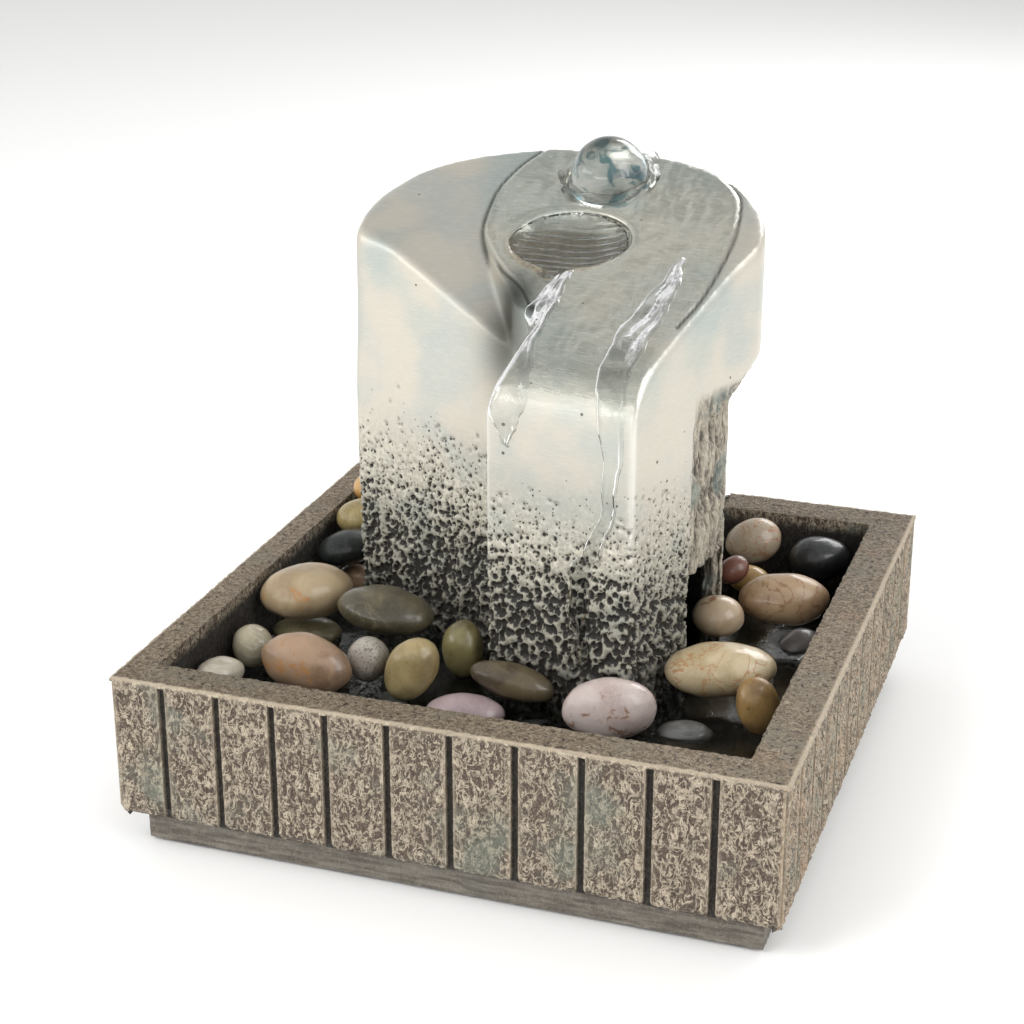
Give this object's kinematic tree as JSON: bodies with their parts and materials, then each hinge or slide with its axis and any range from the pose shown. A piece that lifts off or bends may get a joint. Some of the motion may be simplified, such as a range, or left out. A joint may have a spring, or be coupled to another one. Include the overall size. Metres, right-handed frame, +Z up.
{
  "type": "tabletop water fountain",
  "caption": "Square slatted basin of pebbles around a cast column whose sloping tongue carries water from a pool and a turning glass ball, fed by a submerged pump.",
  "frame": {"origin": "centre of the basin's footprint on the resting surface", "axes": "+Z up, the tongue faces -Y, +X to the right"},
  "size_m": [0.22, 0.22, 0.21],
  "materials": {
    "basin": "weathered cast resin, slatted wood look",
    "rubber_feet": "matte",
    "column": "cast resin: brushed metallic head, rough pitted core",
    "jet_nozzle": "matte",
    "hose": "clear soft tube",
    "glass_ball": "polished clear glass",
    "pump_housing": "matte black",
    "impeller_cover": "matte black",
    "strainer_cover": "matte black",
    "flow_dial": "matte green",
    "seal_ring": "matte",
    "impeller": "matte white",
    "rotor_magnet": "sintered ferrite",
    "pump_shaft": "ground",
    "rear_bush": "matte",
    "front_bush": "matte",
    "stator_core": "laminated steel",
    "stator_coil": "enamelled copper wire",
    "potting": "cast resin",
    "suction_cups": "matte",
    "cord_gland": "matte",
    "fill_pebbles": "wet river pebbles",
    "pebble_01": "wet river pebble",
    "pebble_02": "wet river pebble",
    "pebble_03": "wet river pebble",
    "pebble_04": "wet river pebble",
    "pebble_05": "wet river pebble",
    "pebble_06": "wet river pebble",
    "pebble_07": "wet river pebble",
    "pebble_08": "wet river pebble",
    "pebble_09": "wet river pebble",
    "pebble_10": "wet river pebble",
    "pebble_11": "wet river pebble",
    "pebble_12": "wet river pebble",
    "pebble_13": "wet river pebble",
    "pebble_14": "wet river pebble",
    "pebble_15": "wet river pebble",
    "pebble_16": "wet river pebble",
    "pebble_17": "wet river pebble",
    "pebble_18": "wet river pebble",
    "pebble_19": "wet river pebble",
    "pebble_20": "wet river pebble",
    "pebble_21": "wet river pebble",
    "pebble_22": "wet river pebble",
    "pebble_23": "wet river pebble",
    "pebble_24": "wet river pebble",
    "pebble_25": "wet river pebble",
    "pebble_26": "wet river pebble",
    "pebble_27": "wet river pebble",
    "pebble_28": "wet river pebble",
    "pebble_29": "wet river pebble",
    "pebble_30": "wet river pebble"
  },
  "bodies": {
    "base": {"basin": "basin", "rubber_feet": "rubber_feet", "pump_housing": "pump_housing", "impeller_cover": "impeller_cover", "seal_ring": "seal_ring", "pump_shaft": "pump_shaft", "rear_bush": "rear_bush", "front_bush": "front_bush", "stator_core": "stator_core", "stator_coil": "stator_coil", "potting": "potting", "suction_cups": "suction_cups", "cord_gland": "cord_gland", "fill_pebbles": "fill_pebbles", "pebble_01": "pebble_01", "pebble_02": "pebble_02", "pebble_03": "pebble_03", "pebble_04": "pebble_04", "pebble_05": "pebble_05", "pebble_06": "pebble_06", "pebble_07": "pebble_07", "pebble_08": "pebble_08", "pebble_09": "pebble_09", "pebble_10": "pebble_10", "pebble_11": "pebble_11", "pebble_12": "pebble_12", "pebble_13": "pebble_13", "pebble_14": "pebble_14", "pebble_15": "pebble_15", "pebble_16": "pebble_16", "pebble_17": "pebble_17", "pebble_18": "pebble_18", "pebble_19": "pebble_19", "pebble_20": "pebble_20", "pebble_21": "pebble_21", "pebble_22": "pebble_22", "pebble_23": "pebble_23", "pebble_24": "pebble_24", "pebble_25": "pebble_25", "pebble_26": "pebble_26", "pebble_27": "pebble_27", "pebble_28": "pebble_28", "pebble_29": "pebble_29", "pebble_30": "pebble_30"},
    "column_unit": {"column": "column", "jet_nozzle": "jet_nozzle", "hose": "hose"},
    "ball": {"glass_ball": "glass_ball"},
    "rotor": {"impeller": "impeller", "rotor_magnet": "rotor_magnet"},
    "dial": {"flow_dial": "flow_dial"},
    "strainer": {"strainer_cover": "strainer_cover"}
  },
  "joints": [
    {"name": "column_lift", "type": "slide", "parent": "base", "child": "column_unit", "axis": [0, 0, 1], "range_m": [0, 0.09]},
    {"name": "ball_roll", "type": "hinge", "parent": "column_unit", "child": "ball", "pos_m": [0.0055, 0.05, 0.197], "axis": [1, 0, 0], "continuous": true},
    {"name": "rotor_spin", "type": "hinge", "parent": "base", "child": "rotor", "pos_m": [0.0165, 0, 0.045], "axis": [0, 1, 0], "continuous": true},
    {"name": "flow_dial_turn", "type": "hinge", "parent": "base", "child": "dial", "pos_m": [0.0165, 0.0308, 0.045], "axis": [0, 1, 0], "range_deg": [0, 60]},
    {"name": "strainer_pull", "type": "slide", "parent": "base", "child": "strainer", "axis": [0, 1, 0], "range_m": [0, 0.006]}
  ]
}
